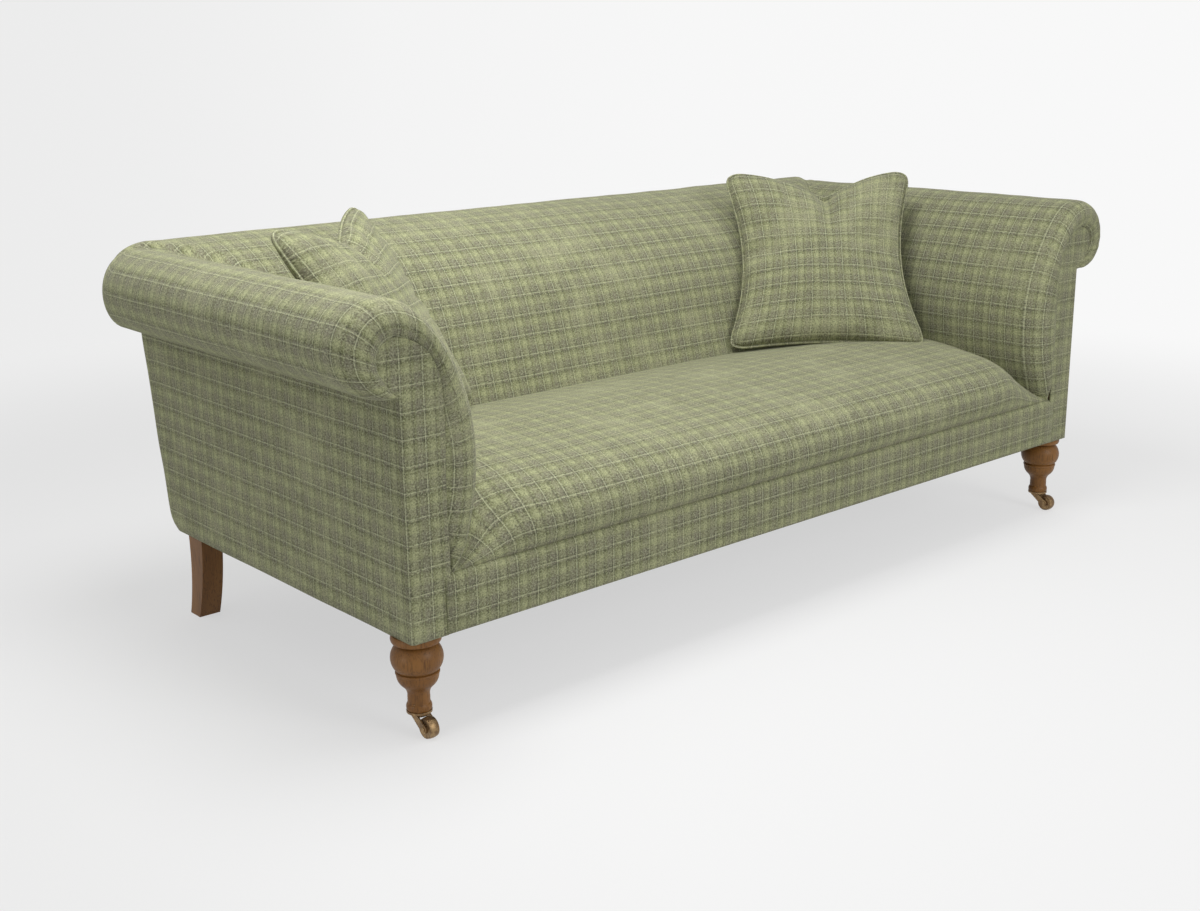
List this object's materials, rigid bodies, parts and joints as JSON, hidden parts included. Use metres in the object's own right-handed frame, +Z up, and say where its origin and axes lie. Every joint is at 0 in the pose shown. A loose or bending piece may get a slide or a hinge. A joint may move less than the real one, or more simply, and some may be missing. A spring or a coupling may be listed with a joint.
{
  "type": "english roll arm sofa",
  "caption": "Long upholstered sofa with scroll arms, fixed seat and back, turned front legs on castors, and loose scatter cushions",
  "frame": {"origin": "on the floor, under the middle of the overall box", "axes": "X runs along the sofa, with the right side of the picture at +X; -Y is the front, where a person sits down; Z is up"},
  "size_m": [2.1598, 0.972, 0.8236],
  "materials": {
    "plaid": "woven",
    "filling": "soft",
    "frame_wood": "sawn",
    "leg_wood": "satin",
    "steel": "plain",
    "brass": "aged",
    "webbing": "woven",
    "dust_cloth": "matte"
  },
  "bodies": {
    "sofa": {"arm_cover_left": "plaid", "arm_cover_right": "plaid", "arm_facing_left": "plaid", "arm_facing_right": "plaid", "arm_front_board_left": "frame_wood", "arm_front_board_right": "frame_wood", "arm_padding_left": "filling", "arm_padding_right": "filling", "arm_stuffing_rail_left": "frame_wood", "arm_stuffing_rail_right": "frame_wood", "arm_top_rail_left": "frame_wood", "arm_top_rail_right": "frame_wood", "arm_webbing_left": "webbing", "arm_webbing_right": "webbing", "back_padding": "filling", "back_posts": "frame_wood", "back_seat_rail": "frame_wood", "back_stuffing_rails": "frame_wood", "back_top_rail": "frame_wood", "back_webbing": "webbing", "castor_plate_left": "brass", "castor_plate_right": "brass", "castor_screws": "brass", "corner_blocks": "frame_wood", "dust_cover": "dust_cloth", "front_border": "plaid", "front_leg_left": "leg_wood", "front_leg_right": "leg_wood", "front_seat_rail": "frame_wood", "inside_back_cover": "plaid", "leg_bolts": "steel", "leg_nuts": "steel", "outside_arm_panel_left": "plaid", "outside_arm_panel_right": "plaid", "outside_back_panel": "plaid", "rear_leg_left": "leg_wood", "rear_leg_right": "leg_wood", "rear_post_left": "frame_wood", "rear_post_right": "frame_wood", "seat_cover": "plaid", "seat_cross_rails": "frame_wood", "seat_hessian": "webbing", "seat_padding": "filling", "seat_springs": "steel", "side_seat_rail_left": "frame_wood", "side_seat_rail_right": "frame_wood", "spring_clips": "steel"},
    "castor_horn_left": {"castor_horn_left": "brass", "castor_axle_left": "brass"},
    "castor_wheel_left": {"castor_wheel_left": "brass"},
    "cushion_left": {"cushion_cover_left": "plaid", "cushion_insert_left": "filling", "cushion_piping_left": "plaid"},
    "castor_horn_right": {"castor_horn_right": "brass", "castor_axle_right": "brass"},
    "castor_wheel_right": {"castor_wheel_right": "brass"},
    "cushion_right": {"cushion_cover_right": "plaid", "cushion_insert_right": "filling", "cushion_piping_right": "plaid"}
  },
  "joints": [
    {"name": "castor_swivel_left", "type": "hinge", "parent": "sofa", "child": "castor_horn_left", "pos_m": [-0.94, -0.439, 0.038], "axis": [0, 0, 1], "continuous": true},
    {"name": "castor_roll_left", "type": "hinge", "parent": "castor_horn_left", "child": "castor_wheel_left", "pos_m": [-0.94, -0.466, 0.019], "axis": [1, 0, 0], "continuous": true},
    {"name": "cushion_lift_left", "type": "slide", "parent": "sofa", "child": "cushion_left", "axis": [0, 0, 1], "range_m": [0, 0.4]},
    {"name": "castor_swivel_right", "type": "hinge", "parent": "sofa", "child": "castor_horn_right", "pos_m": [0.94, -0.439, 0.038], "axis": [0, 0, 1], "continuous": true},
    {"name": "castor_roll_right", "type": "hinge", "parent": "castor_horn_right", "child": "castor_wheel_right", "pos_m": [0.94, -0.466, 0.019], "axis": [1, 0, 0], "continuous": true},
    {"name": "cushion_lift_right", "type": "slide", "parent": "sofa", "child": "cushion_right", "axis": [0, 0, 1], "range_m": [0, 0.4]}
  ]
}
